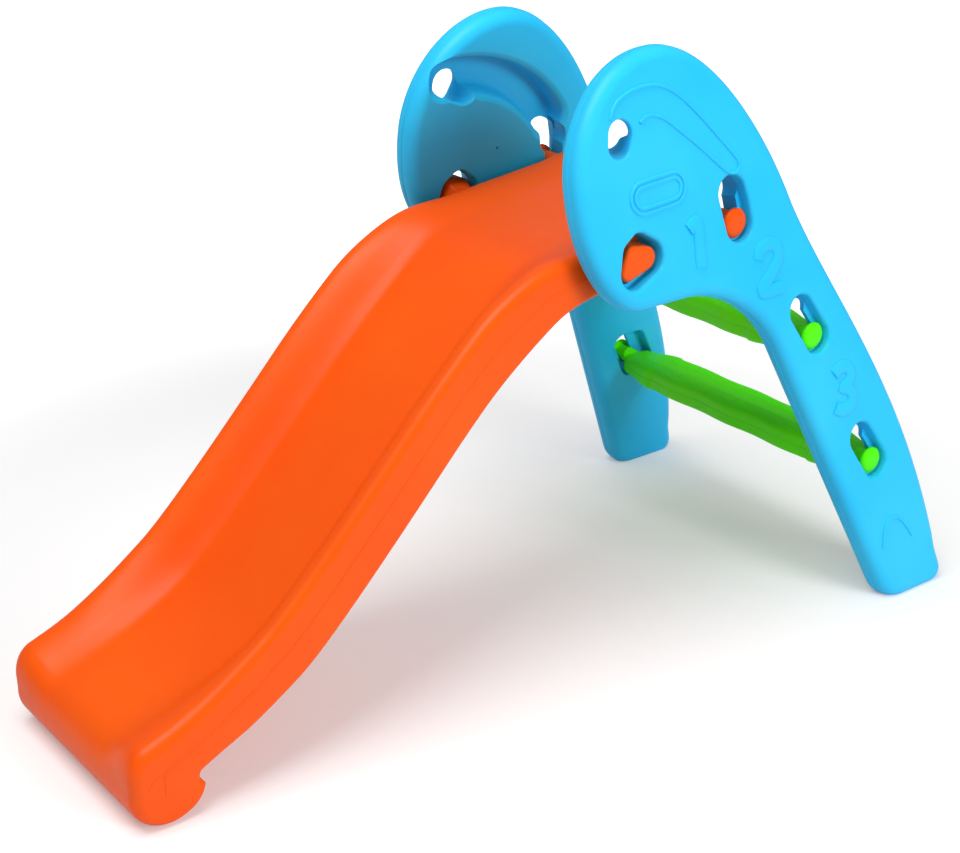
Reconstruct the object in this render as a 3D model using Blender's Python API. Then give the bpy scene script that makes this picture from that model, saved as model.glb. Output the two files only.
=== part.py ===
"""A toddler's slide in five blow-moulded pieces that hang together on moulded knobs.

X runs from the chute's foot to the ladder, Y across, Z up, in metres.
Y = 0 is the middle plane, and the origin is on the floor in the middle of the length.
"""
import math

import bmesh
import bpy
from mathutils import Matrix, Vector

# Overall places, X measured from the axis of the chute's rolled foot
FOOT_REAR_X = 1.0448               # rear end of the ladder's feet, at the floor
ROLL_RADIUS = 0.041                # rolled foot of the chute
CENTRE_X = (FOOT_REAR_X - ROLL_RADIUS) / 2

# Side panels
PANEL_THICKNESS = 0.038
PANEL_EDGE_RADIUS = 0.015
PANEL_LEAN = math.radians(10.3)    # the tops lean towards each other
HEAD_TOP = 0.7135                  # height of the panel's head along its own plane
HEAD_LEFT_X = 0.503
HEAD_MIDDLE = 0.575
LOBE_BOTTOM = 0.434
FOOT_BOTTOM = -0.018               # below the floor, before the foot is cut level
MOUTH_ROUND = 0.005                # rounded lip of every pocket
POCKET_DRAFT = 0.0006
CHANNEL_FLOOR = 0.007              # wall left under the grip channel

# Chute
CHUTE_HALF_WIDTH = 0.141
CHUTE_REAR_X = 0.742
END_ROUND = 0.007                  # softened rear edge
DECK_TAPER = 0.0065                # deck's rear end is this much narrower on each side
NOSE_RAIL = 0.018                  # crest above the middle of the bed at the foot
RAIL_HEIGHT = 0.036                # and in the middle of the run
DECK_RAIL = 0.006
FOOT_DEPTH = 0.042                 # bed to lower edge, square to the bed, near the foot
RUN_DEPTH = 0.034
DECK_DEPTH = 0.046
CREST_RADIUS = 0.014
LOWER_EDGE_RADIUS = 0.009
UNDERSIDE_HOLLOW = 0.010           # the underside is dished this much between its edges
NOTCH_X, NOTCH_Z = 0.047, 0.044    # centre of the fillet between the roll and the underside
NOTCH_RADIUS = 0.009
PANEL_CLEARANCE = 0.0048           # chute's side to the panel, at the height of the pegs

# Pegs and knobs, as places of their axes in the XZ plane
PEG_X, PEG_Z = 0.580, 0.495
KNOB_X, KNOB_Z = 0.729, 0.5085
UPPER_STEP_X, UPPER_STEP_Z = 0.841, 0.356
LOWER_STEP_X, LOWER_STEP_Z = 0.9285, 0.1825
CHUTE_KNOB_RADIUS = 0.0175
CHUTE_NECK_RADIUS = 0.0120
STEP_KNOB_RADIUS = 0.0168
STEP_NECK_RADIUS = 0.0105
KNOB_RECESS = 0.006                # knob's face inside the panel's outer face

# Keyholes
SEAT_GAP = 0.0006                  # neck to the bottom of its slot
SIDE_GAP = 0.0010                  # neck to the sides of its slot, knob to its eye
KNOB_GAP = 0.0027                  # knob to its pocket
PEG_GAP = 0.0045                   # peg to its hole, room to turn in
WEB_GAP = 0.0006                   # knob's shoulder to the web
OUTER_POCKET = 0.016
NEST_DEPTH = 0.016
NEST_GAP = 0.0025                  # tread to the walls of its nest
NEST_ROUND = 0.003
STEP_LIFT = 0.043                  # travel of a step along its slot
STEP_LIFT_ANGLE = math.radians(58.5)
CHUTE_SWING = math.radians(14.0)   # travel of the chute about its pegs

# Steps
TREAD_HALF_DEPTH = 0.035
TREAD_END_DEPTH = 0.025
TREAD_HALF_HEIGHT = 0.018
TREAD_END_HEIGHT = 0.014
TREAD_DROP = 0.011                 # centre of the tread below its knobs' axis
TREAD_BACK = 0.011                 # centre of the tread behind its knobs' axis
TREAD_NEST = 0.004                 # how far a tread's end sits inside the panel's inner face
TREAD_WAVE = 0.006
TREAD_WAVES = 3


def clear_scene():
    for existing in list(bpy.data.objects):
        bpy.data.objects.remove(existing, do_unlink=True)


def plastic(name, colour, roughness):
    """A moulded plastic: linear colour and roughness."""
    material = bpy.data.materials.new(name)
    material.use_nodes = True
    shader = material.node_tree.nodes["Principled BSDF"]
    shader.inputs["Base Color"].default_value = (*colour, 1.0)
    shader.inputs["Roughness"].default_value = roughness
    shader.inputs["Metallic"].default_value = 0.0
    return material


def ellipse(cx, cy, rx, ry, start, end, count):
    """Points on an ellipse, angles in degrees, both ends included."""
    angles = [math.radians(start + (end - start) * i / count) for i in range(count + 1)]
    return [(cx + rx * math.cos(a), cy + ry * math.sin(a)) for a in angles]


def bezier(p0, p1, p2, p3, count):
    """Points on a cubic curve, both ends included."""
    points = []
    for i in range(count + 1):
        t = i / count
        weights = ((1 - t) ** 3, 3 * t * (1 - t) ** 2, 3 * t * t * (1 - t), t ** 3)
        points.append(tuple(sum(w * p[k] for w, p in zip(weights, (p0, p1, p2, p3))) for k in (0, 1)))
    return points


def fillet(before, corner, after, radius, count):
    """Arc that rounds a corner between two straight runs."""
    corner = Vector(corner)
    a = (Vector(before) - corner).normalized()
    b = (Vector(after) - corner).normalized()
    half = a.angle(b) / 2
    reach = radius / math.tan(half)
    centre = corner + (a + b).normalized() * radius / math.sin(half)
    start = corner + a * reach - centre
    turn = start.angle_signed(corner + b * reach - centre)
    return [tuple(centre + Matrix.Rotation(-turn * i / count, 2) @ start) for i in range(count + 1)]


def hull(circles, grow, count):
    """Outline round a set of circles (u, v, radius), each grown by the same amount."""
    points = []
    for i in range(count):
        angle = 2 * math.pi * (i + 0.5) / count
        c, s = math.cos(angle), math.sin(angle)
        u, v, r = max(circles, key=lambda k: k[0] * c + k[1] * s + k[2])
        points.append((u + (r + grow) * c, v + (r + grow) * s))
    return points


def inset(outline, distance):
    """The outline moved inwards, for an anticlockwise outline."""
    moved = []
    for i, point in enumerate(outline):
        p = Vector(point)
        a = (p - Vector(outline[i - 1])).normalized()
        b = (Vector(outline[(i + 1) % len(outline)]) - p).normalized()
        inward = Vector((-(a + b).y, (a + b).x)).normalized()
        moved.append(tuple(p + inward * distance / max(0.5, a.dot((a + b).normalized()))))
    return moved


def stack(rings):
    """A closed body through rings of equal count; each ring is a list of 3-D points."""
    bm = bmesh.new()
    loops = [[bm.verts.new(p) for p in ring] for ring in rings]
    for low, high in zip(loops, loops[1:]):
        for i in range(len(low)):
            j = (i + 1) % len(low)
            bm.faces.new((low[i], low[j], high[j], high[i]))
    bm.faces.new(list(reversed(loops[0])))
    bm.faces.new(loops[-1])
    if bm.calc_volume(signed=True) < 0:
        bmesh.ops.reverse_faces(bm, faces=bm.faces)
    return bm


def add_object(name, bm, material=None):
    mesh = bpy.data.meshes.new(name)
    bm.to_mesh(mesh)
    bm.free()
    body = bpy.data.objects.new(name, mesh)
    bpy.context.collection.objects.link(body)
    if material:
        mesh.materials.append(material)
        mesh.shade_smooth()
        mesh.set_sharp_from_angle(angle=math.radians(35))
    return body


def add_tool(name, bm):
    """A cutter or an addition, hidden from the finished model."""
    tool = add_object(name, bm)
    tool.hide_render = True
    tool.display_type = "WIRE"
    return tool


def boolean(body, tool, operation, solver="EXACT"):
    modifier = body.modifiers.new(tool.name, "BOOLEAN")
    modifier.operation = operation
    modifier.solver = solver
    modifier.object = tool


def shift_x(points):
    """World X from X measured at the rolled foot."""
    return [(x - CENTRE_X, z) for x, z in points]


# Side panels
# The panel is drawn in its own plane: u along it, v up it, w from the inner face out.

def panel_frame(side):
    """Panel's own u, w, v to world; side is +1 for the right panel and -1 for the left."""
    pivot = Vector((PEG_X - CENTRE_X, 0, PEG_Z))
    leaning = (Matrix.Translation(pivot + Vector((0, CHUTE_HALF_WIDTH + PANEL_CLEARANCE, 0)))
              @ Matrix.Rotation(PANEL_LEAN, 4, "X") @ Matrix.Translation(-pivot))
    return Matrix.Diagonal((1, side, 1, 1)) @ leaning


def on_panel(x, z, depth):
    """Where a line along Y at x, z crosses the panel at a depth w from the inner face."""
    frame = panel_frame(1)
    rise = z - frame[2][1] * depth - frame[2][3]
    return (x - CENTRE_X, rise / frame[2][2])


def panel_outline():
    """Head, slanted leg and foot, anticlockwise, in u and v."""
    crown = (0.630, HEAD_TOP)
    shoulder = (0.820, 0.513)
    ankle = (1.034, 0.050)
    heel = (1.037, 0.030)
    toe = (FOOT_REAR_X + 0.0072, FOOT_BOTTOM)
    knee = (0.742, LOBE_BOTTOM)
    shin_slope = 0.44
    front_foot = (knee[0] + (LOBE_BOTTOM - FOOT_BOTTOM) * shin_slope, FOOT_BOTTOM)
    lobe_width = 0.082
    points = ellipse(HEAD_LEFT_X + lobe_width, HEAD_MIDDLE, lobe_width, HEAD_MIDDLE - LOBE_BOTTOM, 180, 270, 9)
    points += fillet((HEAD_LEFT_X, LOBE_BOTTOM), knee, front_foot, 0.150, 8)
    points += fillet(knee, front_foot, toe, 0.045, 6)
    points += fillet(front_foot, toe, heel, 0.020, 4)
    points += [heel, ankle]
    points += bezier(ankle, (0.987, 0.268), (0.874, 0.396), shoulder, 12)[1:]
    points += bezier(shoulder, (0.782, 0.610), (0.706, HEAD_TOP), crown, 10)[1:]
    points += ellipse(crown[0], HEAD_MIDDLE, crown[0] - HEAD_LEFT_X, HEAD_TOP - HEAD_MIDDLE, 90, 180, 10)[1:-1]
    return shift_x(points)


def rounding(radius, steps):
    """Depth and inset of the rings that round an edge, from the face to the side."""
    quarter = [math.pi / 2 * i / steps for i in range(steps + 1)]
    return [(radius * (1 - math.cos(a)), radius * (1 - math.sin(a))) for a in quarter]


def pocket_levels(start, end, lip):
    """Depth and growth of a pocket's rings, from its rounded mouth to its drafted floor."""
    way = 1 if end > start else -1
    rings = rounding(lip, 2)
    (depth_0, grow_0), (depth_1, grow_1) = rings[:2]
    outside = (depth_0 + 2 * (depth_0 - depth_1), grow_0 + 2 * (grow_0 - grow_1))
    return [(start + way * d, g) for d, g in [outside] + rings[1:]] + [(end, -POCKET_DRAFT)]


def pocket(name, circles, start, end, lip, frame, count=26):
    """Cutter for one pocket, from a face inwards."""
    rings = []
    for depth, grow in pocket_levels(start, end, lip):
        rings.append([frame @ Vector((u, depth, v)) for u, v in hull(circles, grow, count)])
    return add_tool(name, stack(rings))


def through(name, circles, start, end, frame, count=22):
    """Cutter for a straight hole between two depths."""
    rings = [[frame @ Vector((u, depth, v)) for u, v in hull(circles, 0, count)] for depth in (start, end)]
    return add_tool(name, stack(rings))


def moved(place, distance, angle):
    """A place moved up the slot."""
    return (place[0] - distance * math.cos(angle), place[1] + distance * math.sin(angle))


def step_keyhole(label, x, z, frame):
    """Inner nest, outer pocket and the keyhole in the web between them, for one step's end."""
    nest_low = on_panel(x + TREAD_BACK, z - TREAD_DROP, NEST_DEPTH / 2)
    nest_high = moved(nest_low, STEP_LIFT, STEP_LIFT_ANGLE)
    across = TREAD_END_DEPTH - TREAD_END_HEIGHT
    radius = TREAD_END_HEIGHT + NEST_GAP
    circles = [(u + sign * across, v, radius) for u, v in (nest_low, nest_high) for sign in (-1, 1)]
    tools = [pocket(label + "_nest", circles, 0, NEST_DEPTH, NEST_ROUND, frame)]
    seat = on_panel(x, z, PANEL_THICKNESS - OUTER_POCKET / 2)
    top = moved(seat, STEP_LIFT, STEP_LIFT_ANGLE)
    eye = STEP_KNOB_RADIUS + SIDE_GAP
    tools.append(pocket(label + "_outer", [(*seat, STEP_KNOB_RADIUS + KNOB_GAP), (*top, eye + SIDE_GAP)],
                        PANEL_THICKNESS, PANEL_THICKNESS - OUTER_POCKET, MOUTH_ROUND, frame))
    reach = 0.002
    span = (NEST_DEPTH - reach, PANEL_THICKNESS - OUTER_POCKET + reach)
    seat = on_panel(x, z, sum(span) / 2)
    top = moved(seat, STEP_LIFT, STEP_LIFT_ANGLE)
    slot = STEP_NECK_RADIUS + SIDE_GAP
    tilt = (span[1] - span[0]) / 2 * math.tan(PANEL_LEAN)
    low = (seat[0], seat[1] + slot - STEP_NECK_RADIUS - SEAT_GAP - tilt)
    tools.append(through(label + "_slot", [(*low, slot), (*top, slot)], *span, frame))
    tools.append(through(label + "_eye", [(*top, eye)], *span, frame))
    return tools


def turned(place, centre, angle):
    """A place swung about a centre, anticlockwise as seen from the left."""
    du, dv = place[0] - centre[0], place[1] - centre[1]
    c, s = math.cos(angle), math.sin(angle)
    return (centre[0] + du * c - dv * s, centre[1] + du * s + dv * c)


def peg_circles(place, grow, angle=0.0):
    """Rounded triangle of the chute's front peg, as three circles round its axis."""
    corners = ((0.012, 0.001, 0.0140), (-0.007, 0.010, 0.0090), (-0.011, -0.009, 0.0120))
    return [(*turned((place[0] + du, place[1] + dv), place, angle), r + grow) for du, dv, r in corners]


def peg_hole(frame):
    """The hole that a front peg turns in, wider above it."""
    tools = []
    middle = PANEL_THICKNESS / 2
    spans = (("inner", 0, middle + 0.001, 0, NEST_ROUND), ("outer", PANEL_THICKNESS, middle - 0.001, 0.0015, MOUTH_ROUND))
    for label, start, end, extra, lip in spans:
        place = on_panel(PEG_X, PEG_Z, (start + end) / 2)
        circles = peg_circles(place, PEG_GAP + extra, CHUTE_SWING / 2)
        circles.append((place[0] + 0.001, place[1] + 0.016, 0.0145))
        tools.append(pocket("peg_" + label, circles, start, end, lip, frame))
    return tools


def knob_keyhole(frame):
    """Keyhole of the chute's rear knob: pocket outside, curved slot and eye in the inner wall."""
    swing = [turned((KNOB_X, KNOB_Z), (PEG_X, PEG_Z), CHUTE_SWING * share) for share in (0, 0.5, 1)]
    outer = [(*on_panel(x, z, PANEL_THICKNESS - OUTER_POCKET / 2), CHUTE_KNOB_RADIUS + KNOB_GAP) for x, z in swing]
    tools = [pocket("knob_outer", outer, PANEL_THICKNESS, PANEL_THICKNESS - OUTER_POCKET, MOUTH_ROUND, frame)]
    span = (-0.004, PANEL_THICKNESS - OUTER_POCKET + 0.002)
    low, middle, top = (on_panel(x, z, sum(span) / 2) for x, z in swing)
    slot = CHUTE_NECK_RADIUS + SIDE_GAP
    tilt = span[1] / 2 * math.tan(PANEL_LEAN)
    low = (low[0], low[1] + slot - CHUTE_NECK_RADIUS - SEAT_GAP - tilt)
    circles = [(*low, slot), (*middle, slot + SIDE_GAP / 2), (*top, slot + SIDE_GAP)]
    tools.append(through("knob_slot", circles, *span, frame))
    tools.append(through("knob_eye", [(*top, CHUTE_KNOB_RADIUS + KNOB_GAP)], *span, frame, 26))
    return tools


def band(start, through_point, end, half_width, count):
    """Centre, radius and angles of an arc through three points, as a band outline maker."""
    ax, ay = start
    bx, by = through_point
    cx, cy = end
    d = 2 * (ax * (by - cy) + bx * (cy - ay) + cx * (ay - by))
    ux = ((ax ** 2 + ay ** 2) * (by - cy) + (bx ** 2 + by ** 2) * (cy - ay) + (cx ** 2 + cy ** 2) * (ay - by)) / d
    uy = ((ax ** 2 + ay ** 2) * (cx - bx) + (bx ** 2 + by ** 2) * (ax - cx) + (cx ** 2 + cy ** 2) * (bx - ax)) / d
    radius = math.hypot(ax - ux, ay - uy)
    first = math.degrees(math.atan2(ay - uy, ax - ux))
    last = math.degrees(math.atan2(cy - uy, cx - ux))

    def outline(grow):
        wide = half_width + grow
        ends = []
        for angle, turn in ((last, 1), (first, -1)):
            centre = (ux + radius * math.cos(math.radians(angle)), uy + radius * math.sin(math.radians(angle)))
            face = angle if turn == -1 else angle + 180
            ends.append(ellipse(*centre, wide, wide, face, face + 180, 5))
        outer = ellipse(ux, uy, radius + wide, radius + wide, last, first, count)[1:-1]
        inner = ellipse(ux, uy, radius - wide, radius - wide, first, last, count)[1:-1]
        return outer + ends[1] + inner + ends[0]
    return outline


def grip_channel(frame):
    """Channel in the inner face, from the hand hole down to the rear keyhole."""
    ends = shift_x([(0.547, 0.644), (0.640, 0.628), (0.712, 0.570)])
    outline = band(*ends, 0.0195, 12)
    floor = PANEL_THICKNESS - CHANNEL_FLOOR
    rings = []
    for w, grow in ((-0.002, 0.0140), (0.0012, 0.0065), (0.004, 0.0035), (floor - 0.005, -0.001), (floor, -0.006)):
        rings.append([frame @ Vector((u, w, v)) for u, v in outline(grow)])
    return add_tool("grip_channel", stack(rings))


def hand_hole(frame):
    """Hole through the floor of the channel's end, widening towards the inner face."""
    outer = [(*shift_x([(0.563, 0.617)])[0], 0.0145), (*shift_x([(0.566, 0.628)])[0], 0.0160)]
    inner = [(*shift_x([(0.553, 0.640)])[0], 0.0200), (*shift_x([(0.576, 0.631)])[0], 0.0200)]
    wall = PANEL_THICKNESS - CHANNEL_FLOOR
    lip = 0.0025
    rings = []
    for depth, grow in pocket_levels(PANEL_THICKNESS, wall, lip):
        rings.append([frame @ Vector((u, depth, v)) for u, v in hull(outer, grow, 26)])
    for depth, grow in ((0.004, 0.0), (-0.003, 0.005)):
        rings.append([frame @ Vector((u, depth, v)) for u, v in hull(inner, grow, 26)])
    return add_tool("hand_hole", stack(rings))


def side_panel(name, side, material):
    """One double-walled panel: a rounded slab, cut by its holes and levelled at the floor."""
    frame = panel_frame(side)
    outline = panel_outline()
    rings = []
    rounded = rounding(PANEL_EDGE_RADIUS, 3)
    for depth, distance in rounded + [(PANEL_THICKNESS - w, d) for w, d in reversed(rounded)]:
        rings.append([frame @ Vector((u, depth, v)) for u, v in inset(outline, distance)])
    body = add_object(name, stack(rings), material)
    floor = bmesh.new()
    bmesh.ops.create_cube(floor, size=1.0, matrix=Matrix.Translation((0.4, side * 0.25, -0.5)))
    boolean(body, add_tool(name + "_floor", floor), "DIFFERENCE")
    tools = step_keyhole("upper", UPPER_STEP_X, UPPER_STEP_Z, frame)
    tools += step_keyhole("lower", LOWER_STEP_X, LOWER_STEP_Z, frame)
    tools += peg_hole(frame) + knob_keyhole(frame)
    tools += [grip_channel(frame), hand_hole(frame)]
    for tool in tools:
        tool.name = name + "_" + tool.name
        boolean(body, tool, "DIFFERENCE")
    return body


# Chute

def smooth(t):
    t = min(1.0, max(0.0, t))
    return t * t * (3 - 2 * t)


def blend(a, b, t):
    return a + (b - a) * t


def bed_line():
    """Middle line of the bed, from the roll to the rear lip, in x and z."""
    foot, run, bend, deck = (-0.0149, 0.0797), (0.146, 0.1475), (0.335, 0.335), (0.4688, 0.4597)
    points = bezier(foot, (0.040, 0.100), (0.100, 0.115), run, 7)[1:]
    points += bezier(run, (0.1865, 0.177), (0.2937, 0.2915), bend, 6)[1:]
    points += bezier(bend, (0.376, 0.379), (0.4358, 0.4337), deck, 5)[1:]
    points += bezier(deck, (0.500, 0.4845), (0.520, 0.490), (0.566, 0.497), 4)[1:]
    points += [(0.625, 0.5051), (0.690, 0.5141), (0.712, 0.5185), (CHUTE_REAR_X - END_ROUND, 0.5212)]
    return points


def across(rise, height, radius, edge, foot, half_width, hollow):
    """Half section of the chute: y and height above the bed, or below it where negative."""
    crest = half_width - radius
    points = [(0.0, 0.0), (foot * 0.5, 0.0)]
    for i in range(6):
        t = i / 5.4
        points.append((blend(foot, crest, t), rise * smooth(t)))
    for i in range(4):
        a = math.pi / 2 * i / 3
        points.append((crest + radius * math.sin(a), rise - radius * (1 - math.cos(a))))
    points.append((half_width + 0.0005, (rise - radius + edge - height) / 2))
    for i in range(4):
        a = math.pi / 2 * i / 3
        points.append((half_width - edge * (1 - math.cos(a)), edge * (1 - math.sin(a)) - height))
    points.append((half_width - edge - 0.020, -height))
    points.append((half_width - edge - 0.034, hollow - height))
    points.append((0.0, hollow - height))
    return points


def chute_ring(top, lower, out, rise, foot, half_width, hollow):
    """Closed ring through a place on the bed and a place under it; rails rise along out."""
    height = (top - lower).length
    up = (top - lower).normalized()
    edge = LOWER_EDGE_RADIUS * min(1.0, height / 0.050)
    half = across(rise, height, min(CREST_RADIUS, 0.3 * height), edge, foot, half_width, hollow)
    ring = []
    for y, h in half + [(-y, h) for y, h in reversed(half[1:-1])]:
        place = top + (out if h > 0 else up) * h
        ring.append(Vector((place.x - CENTRE_X, y, place.y)))
    return ring


def notch(share):
    """A place along the fillet between the roll and the underside."""
    a = math.radians(blend(225.0, 130.0, share))
    return Vector((NOTCH_X + NOTCH_RADIUS * math.cos(a), NOTCH_Z + NOTCH_RADIUS * math.sin(a)))


def roll_rings():
    """Rings that fan round the rolled foot, from the notch under it to the start of the bed."""
    facet = 18.0
    turns = [-facet * (i + 0.5) for i in range(14)] + [-249.0]
    radius = ROLL_RADIUS / math.cos(math.radians(facet / 2))
    rings = []
    for i, turn in enumerate(turns):
        out = Vector((math.cos(math.radians(turn)), math.sin(math.radians(turn))))
        rise = NOSE_RAIL * smooth((-turn - 185.0) / 65.0)
        lower = notch(i / (len(turns) - 1))
        rings.append(chute_ring(Vector((0, ROLL_RADIUS)) + out * radius, lower, out, rise, 0.060, CHUTE_HALF_WIDTH, 0.0))
    return rings


def bed_rings():
    """Rings along the bed: dished run between rails, then the level deck."""
    bed = [Vector(place) for place in bed_line()]
    squares = []
    lowers = []
    for i, place in enumerate(bed):
        along = (bed[min(len(bed) - 1, i + 1)] - bed[max(0, i - 1)]).normalized()
        squares.append(Vector((-along.y, along.x)))
        depth = blend(FOOT_DEPTH, RUN_DEPTH, smooth((place.x - 0.050) / 0.090))
        depth = blend(depth, DECK_DEPTH, smooth((place.x - 0.380) / 0.140))
        lowers.append(place - squares[-1] * depth)
    early = sum(place.x < 0.075 for place in bed)
    rings = []
    for i, place in enumerate(bed):
        run = smooth(place.x / 0.150)
        rise = blend(blend(NOSE_RAIL, RAIL_HEIGHT, run), DECK_RAIL, smooth((place.x - 0.415) / 0.145))
        lower = notch(1.0).lerp(lowers[early], (i + 1) / (early + 1)) if i < early else lowers[i]
        half_width = CHUTE_HALF_WIDTH - DECK_TAPER * min(1.0, max(0.0, (place.x - 0.540) / 0.160))
        hollow = UNDERSIDE_HOLLOW * smooth((place.x - 0.060) / 0.080)
        rings.append(chute_ring(place, lower, squares[i], rise, blend(0.060, 0.072, run), half_width, hollow))
    return rings


def shrunken(ring, share, shift):
    """A ring drawn in towards its middle and moved along X, to soften an end."""
    middle = sum(ring, Vector()) / len(ring)
    return [Vector((p.x + shift, p.y * (1 - share * 0.25), middle.z + (p.z - middle.z) * (1 - share))) for p in ring]


def chute_body():
    """The moulded chute: rolled foot, dished bed between rails, and the level deck."""
    rings = roll_rings() + bed_rings()
    return stack(rings + [shrunken(rings[-1], 0.10, END_ROUND * 0.65), shrunken(rings[-1], 0.35, END_ROUND)])


def rod(y_and_radius, x, z, side, count=20):
    """A turned body along Y through (y, radius) pairs."""
    rings = []
    for y, r in y_and_radius:
        ring = []
        for i in range(count):
            a = 2 * math.pi * (i + 0.5) / count
            ring.append(Vector((x - CENTRE_X + r * math.cos(a), side * y, z + r * math.sin(a))))
        rings.append(ring)
    return stack(rings)


def panel_y(x, z, depth):
    """World Y of the panel's plane at a depth, where the line along Y at x, z meets it."""
    u, v = on_panel(x, z, depth)
    return (panel_frame(1) @ Vector((u, depth, v))).y


def knob_profile(x, z, knob_radius, neck_radius, start):
    """Neck and rounded knob along Y, from start to just inside the panel's outer face."""
    face = panel_y(x, z, PANEL_THICKNESS - KNOB_RECESS)
    shoulder = panel_y(x, z, PANEL_THICKNESS - OUTER_POCKET) + knob_radius * math.tan(PANEL_LEAN) + WEB_GAP
    soft = 0.005
    return [(start, neck_radius), (shoulder - 0.0005, neck_radius), (shoulder, knob_radius - 0.002),
            (shoulder + 0.002, knob_radius), (face - soft, knob_radius),
            (face - 0.0022, knob_radius - 0.0018), (face - 0.0004, knob_radius - soft), (face, knob_radius * 0.4)]


def front_peg(side):
    """Peg that swells from the deck's side to a rounded triangle near the panel's outer face."""
    face = panel_y(PEG_X, PEG_Z, PANEL_THICKNESS - KNOB_RECESS)
    slim, drop = 0.007, 0.004
    rings = []
    for y, shrink, fall in ((CHUTE_HALF_WIDTH - 0.012, slim, drop), (CHUTE_HALF_WIDTH, slim, drop),
                            (CHUTE_HALF_WIDTH + 0.014, 0, 0), (face - 0.004, 0, 0),
                            (face - 0.0012, 0.0012, 0), (face, 0.004, 0)):
        outline = hull(peg_circles((PEG_X - CENTRE_X, PEG_Z - fall), 0), -shrink, 24)
        rings.append([Vector((u, side * y, v)) for u, v in outline])
    return stack(rings)


def chute(material):
    body = add_object("chute", chute_body(), material)
    for side, label in ((1, "right"), (-1, "left")):
        profile = knob_profile(KNOB_X, KNOB_Z, CHUTE_KNOB_RADIUS, CHUTE_NECK_RADIUS, CHUTE_HALF_WIDTH - 0.030)
        boolean(body, add_tool("knob_" + label, rod(profile, KNOB_X, KNOB_Z, side)), "UNION", "MANIFOLD")
        boolean(body, add_tool("peg_" + label, front_peg(side)), "UNION", "MANIFOLD")
    return body


# Steps

def tread_ring(x, z, y, half_depth, half_height, power, count=24):
    """One section across a step, between a boxy tread and a round neck."""
    ring = []
    for i in range(count):
        a = 2 * math.pi * (i + 0.5) / count
        c, s = math.cos(a), math.sin(a)
        dx = half_depth * math.copysign(abs(c) ** (2 / power), c)
        dz = half_height * math.copysign(abs(s) ** (2 / power), s)
        ring.append(Vector((x - CENTRE_X + dx, y, z + dz)))
    return ring


def step(name, x, z, material):
    """Tread with a waved plan, a neck and a knob at each end, all one moulding."""
    end = panel_y(x, z - TREAD_DROP, 0) + TREAD_NEST
    knob = knob_profile(x, z, STEP_KNOB_RADIUS, STEP_NECK_RADIUS, end + 0.003)
    half = [(y, x, z, r, r, 2.0) for y, r in reversed(knob)]
    for back, share, power in ((0.0005, 0.70, 2.6), (0.0045, 1.0, 3.6)):
        half.append((end - back, x + TREAD_BACK * share, z - TREAD_DROP * share, TREAD_END_DEPTH * share,
                     TREAD_END_HEIGHT * share, power))
    flare = 0.055
    for i in range(1, 5):
        t = i / 4
        wide = blend(TREAD_END_DEPTH, TREAD_HALF_DEPTH, smooth(t))
        tall = blend(TREAD_END_HEIGHT, TREAD_HALF_HEIGHT, smooth(t))
        half.append((end - 0.0045 - flare * t, x + TREAD_BACK, z - TREAD_DROP, wide, tall, blend(3.6, 4.5, t)))
    reach = half[-1][0]
    count = 10
    middle = []
    for i in range(1, count):
        share = i / count
        wave = TREAD_WAVE * (math.cos(2 * math.pi * TREAD_WAVES * (share - 0.5) / 2) ** 2 - 1) * 0.5
        middle.append((reach * (1 - 2 * share), x + TREAD_BACK, z - TREAD_DROP, TREAD_HALF_DEPTH + wave,
                       TREAD_HALF_HEIGHT, 4.5))
    stations = half + middle + [(-row[0], *row[1:]) for row in reversed(half)]
    rings = [tread_ring(sx, sz, y, hd, hh, power) for y, sx, sz, hd, hh, power in stations]
    return add_object(name, stack(rings), material)


def move_origin(body, place):
    """Put an object's origin at a place without moving its shape."""
    body.data.transform(Matrix.Translation(-place))
    body.location = place


clear_scene()
sky_blue = plastic("sky_blue_plastic", (0.040, 0.470, 0.920), 0.38)
orange = plastic("orange_plastic", (0.950, 0.090, 0.004), 0.36)
lime_green = plastic("lime_green_plastic", (0.110, 0.760, 0.010), 0.38)
side_panel("left_side_panel", -1, sky_blue)
side_panel("right_side_panel", 1, sky_blue)
move_origin(chute(orange), Vector((PEG_X - CENTRE_X, 0, PEG_Z)))
for step_name, step_x, step_z in (("upper_step", UPPER_STEP_X, UPPER_STEP_Z), ("lower_step", LOWER_STEP_X, LOWER_STEP_Z)):
    move_origin(step(step_name, step_x, step_z, lime_green), Vector((step_x - CENTRE_X, 0, step_z)))
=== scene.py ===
"""A toddler's slide: two sky-blue side panels, an orange chute and two lime-green steps.

Every piece is one blow moulding in polyethylene. X runs from the chute's foot to the ladder,
Y across, Z up, in metres; the origin is on the floor in the middle of the length.
"""
import math

import bmesh
import bpy
from mathutils import Matrix, Vector


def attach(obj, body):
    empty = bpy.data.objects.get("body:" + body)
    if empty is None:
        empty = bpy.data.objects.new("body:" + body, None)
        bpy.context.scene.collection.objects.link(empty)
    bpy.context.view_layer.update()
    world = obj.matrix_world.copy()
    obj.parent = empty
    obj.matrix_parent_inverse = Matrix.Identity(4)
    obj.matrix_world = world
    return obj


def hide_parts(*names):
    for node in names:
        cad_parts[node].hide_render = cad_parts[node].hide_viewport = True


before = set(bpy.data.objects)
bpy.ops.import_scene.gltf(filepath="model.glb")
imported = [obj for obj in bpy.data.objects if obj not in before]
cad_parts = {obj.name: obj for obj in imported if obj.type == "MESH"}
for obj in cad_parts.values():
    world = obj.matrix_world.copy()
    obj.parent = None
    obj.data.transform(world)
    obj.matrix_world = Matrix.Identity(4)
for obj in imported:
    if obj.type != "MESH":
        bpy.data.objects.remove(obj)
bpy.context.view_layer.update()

# Side panels
# Two mirrored double-walled blow mouldings in sky-blue polyethylene, closed round a rounded rim.
# Each is a hand-rail head, a slanted ladder leg and a foot, with keyholes that take the knobs of
# the other pieces, and it leans inwards so that its weight keeps the knobs seated.

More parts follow.
